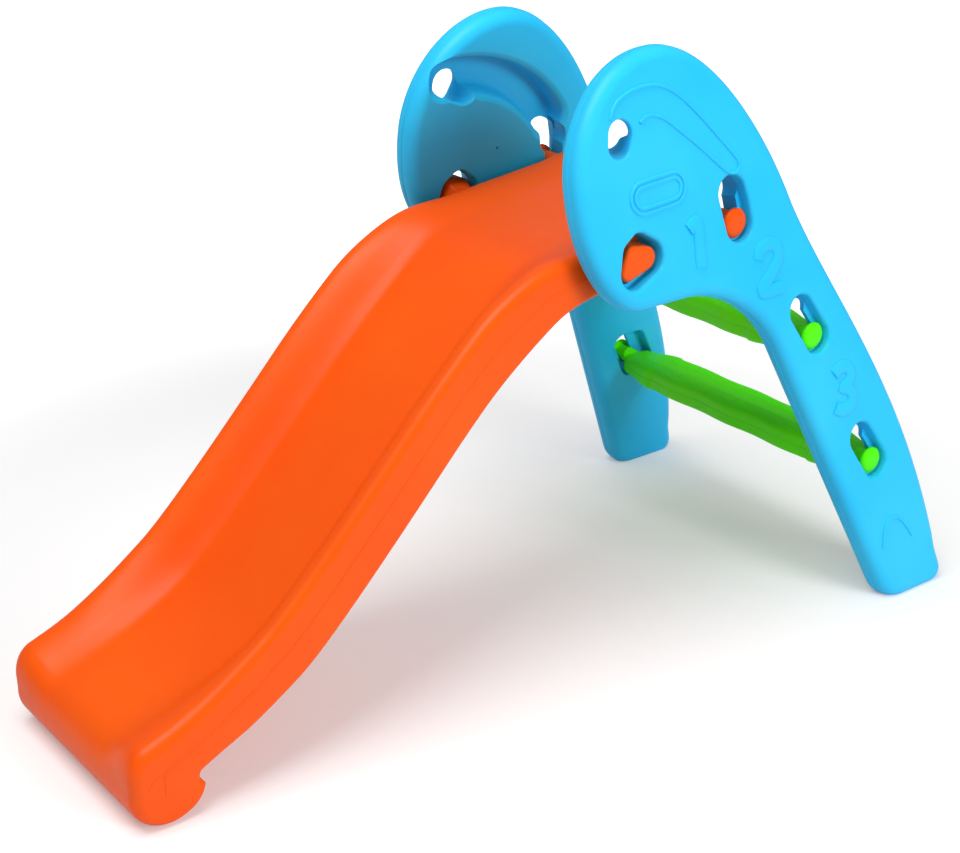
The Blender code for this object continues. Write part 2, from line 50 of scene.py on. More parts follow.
CENTRE_X = 0.5019                  # middle of the length, from the axis of the chute's rolled foot
WALL_TO_WALL = 0.038
RIM_ROUND = 0.015
LEAN = math.radians(10.3)
PEG = (0.580, 0.495)               # axes of the pegs and knobs, as X from the roll and height
REAR_KNOB = (0.729, 0.5085)
STEP_KNOBS = {"upper": (0.841, 0.356), "lower": (0.9285, 0.1825)}
DECK_HALF_WIDTH = 0.141
PANEL_CLEARANCE = 0.0048
SWING = math.radians(14.0)         # the chute about its pegs
LIFT = 0.043                       # from the seat of a step's keyhole up to its eye, in the panel
LIFT_ANGLE = math.radians(58.5)
TREAD_BACK = 0.011                 # middle of a tread from its knobs' axis
TREAD_DROP = 0.011
SKIN = 0.0007                      # height of the parting line's bead
POCKET_DEPTH = 0.016               # outer pockets, and the nests for the treads
OUTER_LIP = 0.005                  # rounding of the mouths in the outer and the inner face
INNER_LIP = 0.003
KNOB_LEVEL = WALL_TO_WALL - 0.008  # depth at which a knob's place is taken
KNOB_FACE = WALL_TO_WALL - 0.006   # depth of the knobs' and pegs' outer faces


def ellipse(cx, cy, rx, ry, start, end, count):
    """Places along an arc, angles in degrees."""
    angles = [math.radians(start + (end - start) * i / count) for i in range(count + 1)]
    return [(cx + rx * math.cos(a), cy + ry * math.sin(a)) for a in angles]


def bezier(p0, p1, p2, p3, count):
    """Places along a cubic curve."""
    points = []
    for i in range(count + 1):
        t = i / count
        weights = ((1 - t) ** 3, 3 * t * (1 - t) ** 2, 3 * t * t * (1 - t), t ** 3)
        points.append(tuple(sum(w * p[k] for w, p in zip(weights, (p0, p1, p2, p3)))
                            for k in (0, 1)))
    return points


def fillet(before, corner, after, radius, count):
    """Arc that rounds a corner between two straight runs."""
    corner = Vector(corner)
    a = (Vector(before) - corner).normalized()
    b = (Vector(after) - corner).normalized()
    half = a.angle(b) / 2
    reach = radius / math.tan(half)
    centre = corner + (a + b).normalized() * radius / math.sin(half)
    start = corner + a * reach - centre
    turn = start.angle_signed(corner + b * reach - centre)
    return [tuple(centre + Matrix.Rotation(-turn * i / count, 2) @ start)
            for i in range(count + 1)]


def hull(circles, grow, count=60):
    """Outline round a set of circles (u, v, radius), each grown by the same amount."""
    points = []
    for i in range(count):
        angle = 2 * math.pi * (i + 0.5) / count
        c, s = math.cos(angle), math.sin(angle)
        u, v, r = max(circles, key=lambda k: k[0] * c + k[1] * s + k[2])
        points.append((u + (r + grow) * c, v + (r + grow) * s))
    return points


def inset(outline, distance):
    """An anticlockwise outline moved inwards."""
    moved_in = []
    for i, point in enumerate(outline):
        p = Vector(point)
        a = (p - Vector(outline[i - 1])).normalized()
        b = (Vector(outline[(i + 1) % len(outline)]) - p).normalized()
        inward = Vector((-(a + b).y, (a + b).x)).normalized()
        moved_in.append(tuple(p + inward * distance / max(0.5, a.dot((a + b).normalized()))))
    return moved_in


def stack(rings):
    """A closed body through rings of equal count."""
    bm = bmesh.new()
    loops = [[bm.verts.new(p) for p in ring] for ring in rings]
    for low, high in zip(loops, loops[1:]):
        for i in range(len(low)):
            j = (i + 1) % len(low)
            bm.faces.new((low[i], low[j], high[j], high[i]))
    bm.faces.new(list(reversed(loops[0])))
    bm.faces.new(loops[-1])
    if bm.calc_volume(signed=True) < 0:
        bmesh.ops.reverse_faces(bm, faces=bm.faces)
    return bm


def body_from(bm, name):
    """An object that holds a finished bmesh."""
    mesh = bpy.data.meshes.new(name)
    bm.to_mesh(mesh)
    bm.free()
    body = bpy.data.objects.new(name, mesh)
    bpy.context.collection.objects.link(body)
    return body


def carve(body, bm, name, operation="DIFFERENCE", solver="EXACT"):
    """Cuts a moulded form out of a body, or joins it on."""
    tool = body_from(bm, name)
    modifier = body.modifiers.new(name, "BOOLEAN")
    modifier.operation = operation
    modifier.solver = solver
    modifier.object = tool
    return tool


FACE_AREA_WEIGHT = 60              # above the neutral 50, so that large faces set the normals


def finished(body, tools, name, material, sharp=38):
    """The body as a smooth-shaded mesh at the origin, with its tools removed and a Weighted Normal
    modifier on it.
    """
    evaluated = body.evaluated_get(bpy.context.evaluated_depsgraph_get())
    mesh = bpy.data.meshes.new_from_object(evaluated)
    mesh.name = name
    for old in [body] + tools:
        bpy.data.objects.remove(old, do_unlink=True)
    mesh.materials.clear()
    mesh.materials.append(material)
    mesh.shade_smooth()
    mesh.set_sharp_from_angle(angle=math.radians(sharp))
    piece = bpy.data.objects.new(name, mesh)
    bpy.context.collection.objects.link(piece)
    weighted = piece.modifiers.new("flat walls stay flat", "WEIGHTED_NORMAL")
    weighted.keep_sharp = True
    weighted.weight = FACE_AREA_WEIGHT
    return piece


def linear(code):
    """sRGB hex to linear colour."""
    channels = [int(code[i:i + 2], 16) / 255 for i in (0, 2, 4)]
    return (*(c / 12.92 if c <= 0.04045 else ((c + 0.055) / 1.055) ** 2.4 for c in channels), 1.0)


def add_node(tree, kind, inputs=None, **settings):
    """One node; inputs are given by name or number, as values or as other nodes' sockets."""
    node = tree.nodes.new(kind)
    for key, value in settings.items():
        setattr(node, key, value)
    for key, value in (inputs or {}).items():
        if isinstance(value, bpy.types.NodeSocket):
            tree.links.new(value, node.inputs[key])
        else:
            node.inputs[key].default_value = value
    return node


CLOUDS_PER_METRE = 5.5             # pigment clouds, 180 mm across
SPECKS_PER_METRE = 1100.0          # pinholes of paler resin, 0.9 mm across
WAVES_PER_METRE = 48.0             # waviness of a blown wall, 21 mm across
GRAINS_PER_METRE = 760.0           # grain of the blasted mould, drawn coarse at 1.3 mm to show
WAVE_HEIGHT = 0.0009
GRAIN_HEIGHT = 0.00022


def moulded_polyethylene(name, code, thin_code, roughness, wear_way):
    """Blow-moulded polyethylene; wear_way gives its rubbed streaks per metre in X, Y and Z."""
    material = bpy.data.materials.new(name)
    material.use_nodes = True
    tree = material.node_tree
    tree.nodes.clear()
    full, thin = linear(code), linear(thin_code)
    place = add_node(tree, "ShaderNodeTexCoord").outputs["Object"]

    # Pigment: slow clouds between the full colour and the paler, thinner-blown skin
    cloud = add_node(tree, "ShaderNodeTexNoise",
                     {"Vector": place, "Scale": CLOUDS_PER_METRE, "Detail": 3.0, "Roughness": 0.55})
    spread = add_node(tree, "ShaderNodeMapRange",
                      {0: cloud.outputs["Fac"], 1: 0.30, 2: 0.72, 3: 0.0, 4: 1.0})
    pigment = add_node(tree, "ShaderNodeMix",
                       {0: spread.outputs[0], 6: full, 7: thin}, data_type="RGBA")

    # Speckle: pinholes of resin that took less pigment
    speck = add_node(tree, "ShaderNodeTexNoise",
                     {"Vector": place, "Scale": SPECKS_PER_METRE, "Detail": 1.0})
    speck_share = add_node(tree, "ShaderNodeMapRange",
                           {0: speck.outputs["Fac"], 1: 0.62, 2: 0.80, 3: 0.0, 4: 0.14})
    speckled = add_node(tree, "ShaderNodeMix",
                        {0: speck_share.outputs[0], 6: pigment.outputs[2], 7: thin},
                        data_type="RGBA")

    # Rubbed streaks: clothes and hands polish the skin along the way the piece is used
    run = add_node(tree, "ShaderNodeMapping", {"Vector": place, "Scale": wear_way})
    rub = add_node(tree, "ShaderNodeTexNoise",
                   {"Vector": run.outputs[0], "Scale": 1.0, "Detail": 4.0, "Roughness": 0.6})
    rubbed = add_node(tree, "ShaderNodeMapRange",
                      {0: rub.outputs["Fac"], 1: 0.35, 2: 0.72,
                       3: roughness - 0.03, 4: roughness + 0.05})

    # Skin: the soft waviness of a blown wall, then the grain of the sand-blasted mould
    wave = add_node(tree, "ShaderNodeTexNoise",
                    {"Vector": place, "Scale": WAVES_PER_METRE, "Detail": 1.0})
    wavy = add_node(tree, "ShaderNodeBump",
                    {"Height": wave.outputs["Fac"], "Strength": 0.30, "Distance": WAVE_HEIGHT})
    grain = add_node(tree, "ShaderNodeTexNoise",
                     {"Vector": place, "Scale": GRAINS_PER_METRE, "Detail": 2.0, "Roughness": 0.6})
    grained = add_node(tree, "ShaderNodeBump",
                       {"Height": grain.outputs["Fac"], "Strength": 0.32, "Distance": GRAIN_HEIGHT,
                        "Normal": wavy.outputs[0]})

    # Waxy, satin plastic that lets a little light under its skin
    shader = add_node(tree, "ShaderNodeBsdfPrincipled",
                      {"Base Color": speckled.outputs[2], "Roughness": rubbed.outputs[0],
                       "Normal": grained.outputs[0], "IOR": 1.50, "Specular IOR Level": 0.24,
                       "Subsurface Weight": 0.04, "Subsurface Radius": (0.004, 0.004, 0.004)})
    add_node(tree, "ShaderNodeOutputMaterial", {"Surface": shader.outputs[0]})
    return material


def bead_tree():
    """Geometry Nodes: a round bead along every edge path, for parting lines and embossed lines."""
    tree = bpy.data.node_groups.new("moulded_bead", "GeometryNodeTree")
    tree.interface.new_socket("Path", in_out="INPUT", socket_type="NodeSocketGeometry")
    radius = tree.interface.new_socket("Bead radius", in_out="INPUT", socket_type="NodeSocketFloat")
    spacing = tree.interface.new_socket("Point spacing", in_out="INPUT",
                                        socket_type="NodeSocketFloat")
    plastic = tree.interface.new_socket("Plastic", in_out="INPUT", socket_type="NodeSocketMaterial")
    tree.interface.new_socket("Bead", in_out="OUTPUT", socket_type="NodeSocketGeometry")
    given = add_node(tree, "NodeGroupInput")
    path = add_node(tree, "GeometryNodeMeshToCurve", {"Mesh": given.outputs["Path"]})
    even = add_node(tree, "GeometryNodeResampleCurve",
                    {"Curve": path.outputs[0], "Length": given.outputs["Point spacing"]},
                    mode="LENGTH")
    section = add_node(tree, "GeometryNodeCurvePrimitiveCircle",
                       {"Resolution": 16, "Radius": given.outputs["Bead radius"]})
    swept = add_node(tree, "GeometryNodeCurveToMesh",
                     {"Curve": even.outputs[0], "Profile Curve": section.outputs[0],
                      "Fill Caps": True})
    soft = add_node(tree, "GeometryNodeSetShadeSmooth", {0: swept.outputs[0]})
    real = add_node(tree, "GeometryNodeRealizeInstances", {0: soft.outputs[0]})
    coloured = add_node(tree, "GeometryNodeSetMaterial",
                        {"Geometry": real.outputs[0], "Material": given.outputs["Plastic"]})
    add_node(tree, "NodeGroupOutput", {0: coloured.outputs[0]})
    return tree, radius.identifier, spacing.identifier, plastic.identifier


BEAD_TREE, BEAD_RADIUS, BEAD_SPACING, BEAD_PLASTIC = bead_tree()


def beads(name, paths, radius, spacing, material):
    """One mesh of beads; each path is (points, closed)."""
    points, edges = [], []
    for path, closed in paths:
        first = len(points)
        points += path
        edges += [(first + i, first + i + 1) for i in range(len(path) - 1)]
        if closed:
            edges.append((len(points) - 1, first))
    mesh = bpy.data.meshes.new(name + "_path")
    mesh.from_pydata([tuple(p) for p in points], edges, [])
    line = bpy.data.objects.new(name + "_path", mesh)
    bpy.context.collection.objects.link(line)
    modifier = line.modifiers.new("bead", "NODES")
    modifier.node_group = BEAD_TREE
    modifier[BEAD_RADIUS] = radius
    modifier[BEAD_SPACING] = spacing
    modifier[BEAD_PLASTIC] = material
    evaluated = line.evaluated_get(bpy.context.evaluated_depsgraph_get())
    plain = bpy.data.meshes.new_from_object(evaluated)
    plain.name = name
    bpy.data.objects.remove(line, do_unlink=True)
    piece = bpy.data.objects.new(name, plain)
    bpy.context.collection.objects.link(piece)
    return piece


def from_roll(points):
    """World X from X measured at the axis of the rolled foot."""
    return [(x - CENTRE_X, z) for x, z in points]


def panel_frame(side):
    """Panel's own u (along), w (from the inner face out) and v (up) to world."""
    pivot = Vector((PEG[0] - CENTRE_X, 0, PEG[1]))
    leaning = (Matrix.Translation(pivot + Vector((0, DECK_HALF_WIDTH + PANEL_CLEARANCE, 0)))
               @ Matrix.Rotation(LEAN, 4, "X") @ Matrix.Translation(-pivot))
    return Matrix.Diagonal((1, side, 1, 1)) @ leaning


def on_panel(x, z, depth):
    """Where a line along Y at x, z crosses the panel at a depth."""
    lay = panel_frame(1)
    return (x - CENTRE_X, (z - lay[2][1] * depth - lay[2][3]) / lay[2][2])


def panel_outline():
    """Head, slanted leg and foot, anticlockwise, in u and v."""
    crown, shoulder, ankle = (0.630, 0.7135), (0.820, 0.513), (1.034, 0.050)
    head_left, head_middle, lobe_bottom, foot_bottom = 0.503, 0.575, 0.434, -0.018
    toe = (1.052, foot_bottom)
    knee = (0.742, lobe_bottom)
    front_foot = (knee[0] + (lobe_bottom - foot_bottom) * 0.44, foot_bottom)
    points = ellipse(head_left + 0.082, head_middle, 0.082, head_middle - lobe_bottom, 180, 270, 26)
    points += fillet((head_left, lobe_bottom), knee, front_foot, 0.150, 24)
    points += fillet(knee, front_foot, toe, 0.045, 14)
    points += fillet(front_foot, toe, (1.037, 0.030), 0.020, 8)
    points += [(1.037, 0.030), ankle]
    points += bezier(ankle, (0.987, 0.268), (0.874, 0.396), shoulder, 34)[1:]
    points += bezier(shoulder, (0.782, 0.610), (0.706, crown[1]), crown, 30)[1:]
    points += ellipse(crown[0], head_middle, crown[0] - head_left, crown[1] - head_middle,
                      90, 180, 32)[1:-1]
    return inset(from_roll(points), SKIN)


def rounding(radius, steps):
    """Depth and inset of the rings that round an edge, from the face to the side."""
    quarter = [math.pi / 2 * i / steps for i in range(steps + 1)]
    return [(radius * (1 - math.cos(a)), radius * (1 - math.sin(a))) for a in quarter]


def pocket(circles, start, end, lip, lay):
    """Cutter for a drafted pocket with a rounded mouth, run on past the face that it opens in."""
    way = 1 if end > start else -1
    rings = rounding(lip, 6)
    (depth_0, grow_0), (depth_1, grow_1) = rings[:2]
    outside = (depth_0 + 3 * (depth_0 - depth_1) - 0.0005, grow_0 + 3 * (grow_0 - grow_1))
    floor_round = 0.0025
    levels = [(start + way * d, g) for d, g in [outside] + rings[1:]]
    levels += [(end - way * floor_round, -0.0004), (end - way * floor_round * 0.3, -0.0012),
               (end, -0.0030)]
    return stack([[lay @ Vector((u, depth, v)) for u, v in hull(circles, grow)]
                  for depth, grow in levels])


def through(circles, start, end, lay):
    """Cutter for a straight hole between two depths."""
    return stack([[lay @ Vector((u, depth, v)) for u, v in hull(circles, 0)]
                  for depth in (start, end)])


def lifted(place):
    """A place moved up a step's slot."""
    return (place[0] - LIFT * math.cos(LIFT_ANGLE), place[1] + LIFT * math.sin(LIFT_ANGLE))


def step_keyhole(x, z, lay):
    """Inner nest for the tread, outer pocket for the knob, and the keyhole in the web between."""
    nest_level, web_level = 0.008, 0.019
    nest_spread, nest_radius = 0.011, 0.0165
    slot_radius, eye_radius, seat_gap = 0.0115, 0.0178, 0.0006
    web_front, web_back = 0.012, 0.026
    low = on_panel(x + TREAD_BACK, z - TREAD_DROP, nest_level)
    nest = [(u + sign * nest_spread, v, nest_radius)
            for u, v in (low, lifted(low)) for sign in (-1, 1)]
    seat = on_panel(x, z, KNOB_LEVEL)
    outer = [(*seat, 0.0195), (*lifted(seat), 0.0188)]
    web = on_panel(x, z, web_level)
    slot = [(web[0], web[1] - seat_gap, slot_radius), (*lifted(web), slot_radius)]
    return [pocket(nest, 0, POCKET_DEPTH, INNER_LIP, lay),
            pocket(outer, WALL_TO_WALL, WALL_TO_WALL - POCKET_DEPTH, OUTER_LIP, lay),
            through(slot, web_front, web_back, lay),
            through([(*lifted(web), eye_radius)], web_front, web_back, lay)]


def swung(place, angle):
    """A place swung about the chute's pegs."""
    du, dv = place[0] - PEG[0], place[1] - PEG[1]
    c, s = math.cos(angle), math.sin(angle)
    return (PEG[0] + du * c - dv * s, PEG[1] + du * s + dv * c)


def peg_circles(place, angle=0.0):
    """Rounded triangle of a front peg, as three circles round its axis."""
    c, s = math.cos(angle), math.sin(angle)
    corners = ((0.012, 0.001, 0.0140), (-0.007, 0.010, 0.0090), (-0.011, -0.009, 0.0120))
    return [(place[0] + du * c - dv * s, place[1] + du * s + dv * c, r) for du, dv, r in corners]


def peg_hole(lay):
    """Hole that a front peg turns in, wider above it, from both faces."""
    cutters = []
    half = WALL_TO_WALL / 2
    room, room_above = 0.0052, (0.001, 0.016, 0.0150)
    for start, end, extra, lip in ((0, half + 0.001, 0.0, INNER_LIP),
                                   (WALL_TO_WALL, half - 0.001, 0.0015, OUTER_LIP)):
        u0, v0 = on_panel(*PEG, (start + end) / 2)
        circles = [(u, v, r + room + extra) for u, v, r in peg_circles((u0, v0), SWING / 2)]
        circles.append((u0 + room_above[0], v0 + room_above[1], room_above[2]))
        cutters.append(pocket(circles, start, end, lip, lay))
    return cutters


def rear_keyhole(lay):
    """Pocket, curved slot and eye for the chute's rear knob."""
    knob_room, slot_level, seat_gap = 0.0202, 0.010, 0.0018
    front, back = -0.004, 0.024
    path = [swung(REAR_KNOB, SWING * share) for share in (0, 0.5, 1)]
    outer = [(*on_panel(x, z, KNOB_LEVEL), knob_room) for x, z in path]
    low, middle, top = (on_panel(x, z, slot_level) for x, z in path)
    slot = [(low[0], low[1] - seat_gap, 0.0130), (*middle, 0.0135), (*top, 0.0140)]
    return [pocket(outer, WALL_TO_WALL, WALL_TO_WALL - POCKET_DEPTH, OUTER_LIP, lay),
            through(slot, front, back, lay), through([(*top, knob_room)], front, back, lay)]


def arc_band(start, middle, end, half_width, count):
    """Outline maker for a round-ended band along the arc through three places."""
    (ax, ay), (bx, by), (cx, cy) = start, middle, end
    d = 2 * (ax * (by - cy) + bx * (cy - ay) + cx * (ay - by))
    aa, bb, cc = ax ** 2 + ay ** 2, bx ** 2 + by ** 2, cx ** 2 + cy ** 2
    ux = (aa * (by - cy) + bb * (cy - ay) + cc * (ay - by)) / d
    uy = (aa * (cx - bx) + bb * (ax - cx) + cc * (bx - ax)) / d
    radius = math.hypot(ax - ux, ay - uy)
    first = math.degrees(math.atan2(ay - uy, ax - ux))
    last = math.degrees(math.atan2(cy - uy, cx - ux))

    def outline(grow):
        wide = half_width + grow
        ends = []
        for angle, turn in ((first, 0), (last, 180)):
            way = math.radians(angle)
            centre = (ux + radius * math.cos(way), uy + radius * math.sin(way))
            ends.append(ellipse(*centre, wide, wide, angle + turn, angle + turn + 180, 14))
        outside = ellipse(ux, uy, radius + wide, radius + wide, last, first, count)[1:-1]
        inside = ellipse(ux, uy, radius - wide, radius - wide, first, last, count)[1:-1]
        return outside + ends[0] + inside + ends[1]
    return outline


def grip_channel(lay):
    """Finger channel in the inner face, from the hand hole down to the rear keyhole."""
    half_width, floor_wall = 0.0195, 0.007
    outline = arc_band(*from_roll([(0.547, 0.644), (0.640, 0.628), (0.712, 0.570)]), half_width, 40)
    floor = WALL_TO_WALL - floor_wall
    mouth = ((-0.002, 0.0150), (0.0006, 0.0092), (0.0018, 0.0064), (0.004, 0.0038), (0.007, 0.0022))
    bottom = ((0.006, -0.0006), (0.0035, -0.0016), (0.001, -0.0040), (0.0, -0.0075))
    levels = [*mouth, *((floor - above, grow) for above, grow in bottom)]
    return stack([[lay @ Vector((u, w, v)) for u, v in outline(grow)] for w, grow in levels])


def hand_hole(lay):
    """Hole through the channel's floor, with a rounded lip outside."""
    outer = [(0.563 - CENTRE_X, 0.617, 0.0145), (0.566 - CENTRE_X, 0.628, 0.0160)]
    inner = [(0.553 - CENTRE_X, 0.640, 0.0200), (0.576 - CENTRE_X, 0.631, 0.0200)]
    lip = rounding(0.0028, 5)
    levels = [(-0.0012, lip[0][1] + 0.0030)] + lip[1:] + [(0.007, -0.0002)]
    stations = [(outer, WALL_TO_WALL - depth, grow) for depth, grow in levels]
    stations += [(inner, 0.004, 0.0), (inner, -0.003, 0.005)]
    return stack([[lay @ Vector((u, w, v)) for u, v in hull(circles, grow)]
                  for circles, w, grow in stations])


def at_height(points, depth):
    """Places measured as x and height on the plane at a depth, in the panel's own u and v."""
    return [on_panel(x, z, depth) for x, z in points]


def softened(points, closed, rounds=3):
    """Corner cutting, so that an embossed line runs in one smooth curve."""
    for _ in range(rounds):
        fresh = [] if closed else [points[0]]
        for a, b in zip(points, points[1:] + (points[:1] if closed else [])):
            for share in (0.75, 0.25):
                fresh.append(tuple(share * p + (1 - share) * q for p, q in zip(a, b)))
        points = fresh if closed else fresh + [points[-1]]
    return points


sky_blue = moulded_polyethylene("sky_blue_moulded_polyethylene", "22C4FF", "34CEFF",
                                roughness=0.42, wear_way=(14.0, 60.0, 14.0))

# Embossed outlines and numerals, as X from the roll and height; a numeral's strokes from its middle
CRESCENT = [(0.5525, 0.650), (0.556, 0.659), (0.566, 0.669), (0.588, 0.677), (0.619, 0.678),
            (0.643, 0.668), (0.668, 0.648), (0.699, 0.616), (0.727, 0.586), (0.7325, 0.579),
            (0.732, 0.570), (0.724, 0.5665), (0.714, 0.570), (0.700, 0.582), (0.675, 0.604),
            (0.650, 0.624), (0.628, 0.641), (0.611, 0.6475), (0.600, 0.6465), (0.593, 0.641)]
PILL_ENDS = ((0.589, 0.5635), (0.632, 0.5665))
PILL_RADII = (0.0175, 0.0115)
FOOT_ARC = [(0.9325, 0.072), (0.936, 0.094), (0.943, 0.106), (0.957, 0.107), (0.972, 0.096),
            (0.986, 0.074)]
NUMERALS = (
    (0.661, 0.5005, [(-0.011, 0.018), (0.001, 0.0265), (0.004, 0.021), (0.004, 0.0),
                     (0.004, -0.0255)]),
    (0.769, 0.4530, [(-0.017, 0.013), (-0.014, 0.0255), (0.004, 0.029), (0.017, 0.020),
                     (0.013, 0.004), (-0.004, -0.012), (-0.018, -0.0255), (-0.004, -0.0255),
                     (0.018, -0.0255)]),
    (0.878, 0.2880, [(-0.015, 0.020), (-0.005, 0.0275), (0.011, 0.025), (0.015, 0.012),
                     (0.006, 0.003), (-0.005, 0.001), (0.008, -0.001), (0.017, -0.011),
                     (0.011, -0.025), (-0.005, -0.0275), (-0.016, -0.020)]))

# Radius of each bead and spacing of the points along it
SEAM_SPACING = 0.006
LINE_RADIUS, LINE_SPACING = 0.0021, 0.003
NUMERAL_RADIUS, NUMERAL_SPACING = 0.0085, 0.002
LINE_PROUD = 0.0002                # middle of an embossed line's bead above the face
NUMERAL_FLATTENING = 0.34
SEAM_CLEAR_OF_FLOOR = 0.004
BLOW_PIN = (0.634, 0.544)
BLOW_PIN_RADIUS, BLOW_PIN_DEPTH = 0.0019, 0.005

for side, name in ((-1, "left_side_panel"), (1, "right_side_panel")):
    lay = panel_frame(side)
    outline = panel_outline()
    edge = rounding(RIM_ROUND, 9)
    slab = []
    for depth, distance in edge + [(WALL_TO_WALL - w, d) for w, d in reversed(edge)]:
        slab.append([lay @ Vector((u, depth, v)) for u, v in inset(outline, distance)])
    panel = body_from(stack(slab), name + "_slab")
    under_floor = bmesh.new()
    bmesh.ops.create_cube(under_floor, size=1.0,
                          matrix=Matrix.Translation((0.4, side * 0.25, -0.5)))
    cutters = [under_floor]
    for step_x, step_z in STEP_KNOBS.values():
        cutters += step_keyhole(step_x, step_z, lay)
    cutters += peg_hole(lay) + rear_keyhole(lay) + [grip_channel(lay), hand_hole(lay)]
    pin = (*on_panel(*BLOW_PIN, 0.0), BLOW_PIN_RADIUS)
    cutters.append(through([pin], -0.001, BLOW_PIN_DEPTH, lay))
    tools = [carve(panel, cutter, f"{name}_cut_{i}") for i, cutter in enumerate(cutters)]
    panel = finished(panel, tools, name + "_moulding", sky_blue)
    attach(panel, "side_panels")
    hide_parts(name)

    # Parting line round the rim, open along the floor, and the lines embossed in the outer face
    seam = [lay @ Vector((u, WALL_TO_WALL / 2, v)) for u, v in outline]
    last_low = max(i for i, p in enumerate(seam) if p.z < SEAM_CLEAR_OF_FLOOR)
    seam = [p for p in seam[last_low + 1:] + seam[:last_low + 1] if p.z > SEAM_CLEAR_OF_FLOOR]
    parting = beads(name + "_parting_line", [(seam, False)], SKIN, SEAM_SPACING, sky_blue)
    flat_lines = [(at_height(line, WALL_TO_WALL), False) for line in (CRESCENT, FOOT_ARC)]
    pill_ends = [(*place, 0.0) for place in at_height(PILL_ENDS, WALL_TO_WALL)]
    flat_lines += [(hull(pill_ends, radius), True) for radius in PILL_RADII]
    face_lines = []
    for line, closed in flat_lines:
        raised = [lay @ Vector((u, WALL_TO_WALL + LINE_PROUD, v))
                  for u, v in softened(line, closed)]
        face_lines.append((raised, closed))
    embossed = beads(name + "_embossed_lines", face_lines, LINE_RADIUS, LINE_SPACING, sky_blue)

    # Raised numerals, one beside each climbing hold: puffed strokes, flattened against the face
    strokes = []
    for x, z, line in NUMERALS:
        u0, v0 = on_panel(x, z, WALL_TO_WALL)
        stroke = [Vector((u0 - side * du, 0, v0 + dv)) for du, dv in softened(line, False)]
        strokes.append((stroke, False))
    numerals = beads(name + "_numerals", strokes, NUMERAL_RADIUS, NUMERAL_SPACING, sky_blue)
    for vertex in numerals.data.vertices:
        u, w, v = vertex.co
        vertex.co = lay @ Vector((u, WALL_TO_WALL + w * NUMERAL_FLATTENING, v))
    for extra in (parting, embossed, numerals):
        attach(extra, "side_panels")

# Chute
# One long blow moulding in orange polyethylene: a rolled foot on the floor, a dished bed between
# raised rails, and a level deck between the panels. Two rounded-triangle pegs and two round knobs
# are moulded on the deck's sides and hook into the panels.

ROLL = 0.041                       # radius of the rolled foot
REAR_X = 0.742                     # the rear lip, as X from the roll
END_ROUND = 0.007
CREST_ROUND = 0.014                # roundings of the rails' tops and of the lower edges
LOWER_ROUND = 0.009
FULL_EDGE_DEPTH = 0.050            # thickness from which the lower edge has its whole rounding
ROLL_RAIL, RUN_RAIL, DECK_RAIL = 0.018, 0.036, 0.006
ROLL_FLAT, RUN_FLAT = 0.060, 0.072  # half of the bed's flat middle
FOOT_DEPTH, RUN_DEPTH, DECK_DEPTH = 0.042, 0.034, 0.046
DECK_TAPER = 0.0065                # each side of the deck, towards its rear
HOLLOW = 0.010                     # underside, drawn up between the lower edges
NOTCH_X, NOTCH_Z, NOTCH_RADIUS = 0.047, 0.044, 0.009
FIRST_TURN, LAST_TURN = -9.0, -249.0  # degrees round the roll
WALL_BULGE = 0.0004
BED_POINTS, RAIL_POINTS, CREST_POINTS, WALL_SPANS = 6, 20, 11, 5
SEAM_POINT = BED_POINTS + RAIL_POINTS + CREST_POINTS + 1  # the second place down the side wall
CHUTE_KNOB, CHUTE_NECK = 0.0175, 0.0120
CHUTE_SEAM_RADIUS, CHUTE_SEAM_SPACING = 0.0006, 0.005
ROLL_ARC = 0.0265                  # radius of the short parting line on each end of the roll
PEG_LINE = ((-0.0175, 0.003), (-0.013, 0.0006), (0.0, 0.0), (0.015, 0.0), (0.0205, 0.0006))


def smooth(t):
    """Eased 0 to 1."""
    t = min(1.0, max(0.0, t))
    return t * t * (3 - 2 * t)


def mix(a, b, t):
    """A share of the way from a to b."""
    return a + (b - a) * t


def bed_line():
    """Middle line of the bed, from the roll to the rear lip."""
    foot, run, bend, deck = (-0.0149, 0.0797), (0.146, 0.1475), (0.335, 0.335), (0.4688, 0.4597)
    level, lip, rear = (0.566, 0.497), (0.690, 0.5141), (REAR_X - END_ROUND, 0.5212)
    points = []
    for start, leaving, arriving, end, count in (
            (foot, (0.040, 0.100), (0.100, 0.115), run, 28),
            (run, (0.1865, 0.177), (0.2937, 0.2915), bend, 30),
            (bend, (0.376, 0.379), (0.4358, 0.4337), deck, 24),
            (deck, (0.500, 0.4845), (0.520, 0.490), level, 22),
            (level, (0.610, 0.5030), (0.660, 0.5100), lip, 14),
            (lip, (0.704, 0.5161), (0.714, 0.5202), rear, 10)):
        points += bezier(start, leaving, arriving, end, count)[1:]
    return points


def across(rise, height, radius, edge, flat, half_width, hollow):
    """Half section: y and height above the bed, or below it where negative."""
    crest = half_width - radius
    points = [(flat * i / BED_POINTS, 0.0) for i in range(BED_POINTS)]
    points += [(mix(flat, crest, i / RAIL_POINTS), rise * smooth(i / RAIL_POINTS))
               for i in range(RAIL_POINTS)]
    quarter = [math.pi / 2 * i / (CREST_POINTS - 1) for i in range(CREST_POINTS)]
    points += [(crest + radius * math.sin(a), rise - radius * (1 - math.cos(a))) for a in quarter]
    top, low = rise - radius, edge - height
    points += [(half_width + WALL_BULGE * math.sin(math.pi * i / WALL_SPANS),
                mix(top, low, i / WALL_SPANS)) for i in range(1, WALL_SPANS)]
    points += [(half_width - inwards, up - height) for inwards, up in rounding(edge, 6)]
    inner = half_width - edge - 0.018
    points += [(inner - 0.016 * i / 6, hollow * smooth(i / 6) - height) for i in range(7)]
    points += [(half_width * 0.45, hollow - height), (0.0, hollow - height)]
    return points


